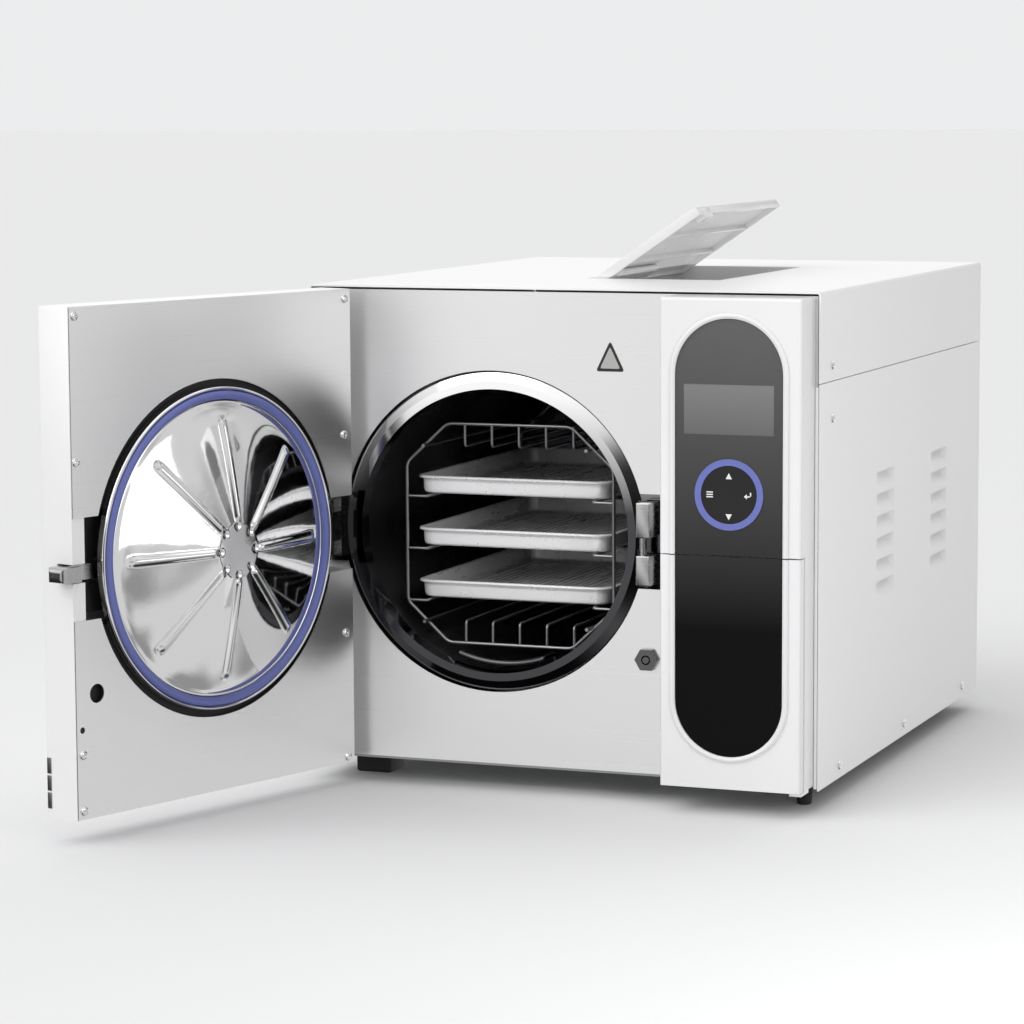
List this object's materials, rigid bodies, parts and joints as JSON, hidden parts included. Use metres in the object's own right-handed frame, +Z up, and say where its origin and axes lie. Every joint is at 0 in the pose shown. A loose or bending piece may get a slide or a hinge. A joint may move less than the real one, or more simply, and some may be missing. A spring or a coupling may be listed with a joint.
{
  "type": "benchtop autoclave",
  "caption": "Front-loading benchtop steam steriliser with a hinged round-sealed door, wire rack with trays, touch fascia and a water-tank hatch on top.",
  "frame": {"origin": "bottom centre of the object's box as it stands, door and water hatch open", "axes": "+X to the right, +Y to the back, +Z up; the chamber faces -Y"},
  "size_m": [0.535, 0.875, 0.4819],
  "materials": {
    "white_paint": "satin powder coat",
    "galvanised": "galvanised sheet",
    "brushed": "brushed, horizontal grain",
    "chamber_steel": "electropolished, dark inside",
    "polished": "mirror polished",
    "dull_steel": "drawn wire, dull",
    "tray_metal": "bright satin",
    "machined_steel": "machined",
    "black_steel": "black satin",
    "silicone": "smooth",
    "felt": "felt",
    "white_plastic": "semi-gloss",
    "black_gloss": "high gloss",
    "keypad_black": "gloss",
    "ring_blue": "semi-gloss",
    "screen": "gloss",
    "circuit": "solder mask",
    "grey_plastic": "moulded",
    "black_plastic": "moulded",
    "supply_case": "folded sheet",
    "rubber": "matt",
    "brass": "turned",
    "fins": "thin sheet"
  },
  "bodies": {
    "cabinet": {"top_cover": "white_paint", "left_side_panel": "white_paint", "right_side_panel": "white_paint", "rear_panel": "white_paint", "base_chassis": "galvanised", "band_heaters": "galvanised", "fan_guard": "galvanised", "front_panel": "brushed", "vessel_shell": "chamber_steel", "vessel_flange": "polished", "case_screws": "polished", "interlock_housing": "polished", "temperature_probe": "dull_steel", "door_striker": "machined_steel", "hinge_bracket": "machined_steel", "hinge_pin": "machined_steel", "service_hinge_pins": "machined_steel", "hatch_hinge_pins": "machined_steel", "steam_generator": "black_steel", "vacuum_pump": "black_steel", "vessel_insulation": "felt", "fascia_frame": "white_plastic", "hatch_frame": "white_plastic", "display_window": "black_gloss", "nav_ring": "ring_blue", "lcd_module": "screen", "control_board": "circuit", "service_bay": "grey_plastic", "air_filter": "grey_plastic", "water_tank": "grey_plastic", "water_pump": "grey_plastic", "fan_housing": "black_plastic", "mains_inlet": "black_plastic", "solenoid_valves": "black_plastic", "power_supply": "supply_case", "feet": "rubber", "drain_couplings": "brass", "safety_valve": "brass", "drain_spout": "brass", "condenser": "fins"},
    "door": {"door_cover": "white_paint", "door_plates": "brushed", "door_screws": "polished", "door_beam": "black_steel", "door_disc": "polished", "door_gasket": "silicone", "door_stud": "machined_steel"},
    "latch": {"latch_bolt": "machined_steel", "latch_grip": "black_plastic"},
    "interlock": {"interlock_pin": "polished"},
    "service_hatch": {"service_door": "white_plastic", "service_window": "black_gloss"},
    "keypad": {"nav_pad": "keypad_black"},
    "fan": {"fan_rotor": "black_plastic"},
    "rocker": {"power_switch": "black_plastic"},
    "water_lid": {"hatch_lid": "white_plastic"},
    "rack": {"rack": "dull_steel"},
    "top_tray": {"tray_top": "tray_metal"},
    "middle_tray": {"tray_middle": "tray_metal"},
    "bottom_tray": {"tray_bottom": "tray_metal"}
  },
  "joints": [
    {"name": "door_hinge", "type": "hinge", "parent": "cabinet", "child": "door", "pos_m": [-0.1581, -0.133, 0.2175], "axis": [0, 0, -1], "range_deg": [-108.5, 6]},
    {"name": "latch_slide", "type": "slide", "parent": "door", "child": "latch", "axis": [-0.3173, -0.9483, 0], "range_m": [-0.019, 0]},
    {"name": "interlock_slide", "type": "slide", "parent": "cabinet", "child": "interlock", "axis": [0, -1, 0], "range_m": [0, 0.01]},
    {"name": "service_door_hinge", "type": "hinge", "parent": "cabinet", "child": "service_hatch", "pos_m": [0.2578, -0.1374, 0.117], "axis": [0, 0, 1], "range_deg": [0, 95]},
    {"name": "keypad_press", "type": "slide", "parent": "cabinet", "child": "keypad", "axis": [0, 1, 0], "range_m": [0, 0.0008], "stiffness_N_per_m": 800},
    {"name": "fan_spin", "type": "hinge", "parent": "cabinet", "child": "fan", "pos_m": [0.195, 0.405, 0.183], "axis": [0, 1, 0], "continuous": true},
    {"name": "switch_rock", "type": "hinge", "parent": "cabinet", "child": "rocker", "pos_m": [-0.073, 0.4135, 0.093], "axis": [1, 0, 0], "range_deg": [-24, 0]},
    {"name": "water_lid_hinge", "type": "hinge", "parent": "cabinet", "child": "water_lid", "pos_m": [0.0167, 0.1705, 0.4174], "axis": [0, -1, 0], "range_deg": [-34, 60]},
    {"name": "rack_slide", "type": "slide", "parent": "cabinet", "child": "rack", "axis": [0, -1, 0], "range_m": [0, 0.3]},
    {"name": "top_tray_slide", "type": "slide", "parent": "rack", "child": "top_tray", "axis": [0, -1, 0], "range_m": [0, 0.25]},
    {"name": "middle_tray_slide", "type": "slide", "parent": "rack", "child": "middle_tray", "axis": [0, -1, 0], "range_m": [0, 0.25]},
    {"name": "bottom_tray_slide", "type": "slide", "parent": "rack", "child": "bottom_tray", "axis": [0, -1, 0], "range_m": [0, 0.25]}
  ]
}
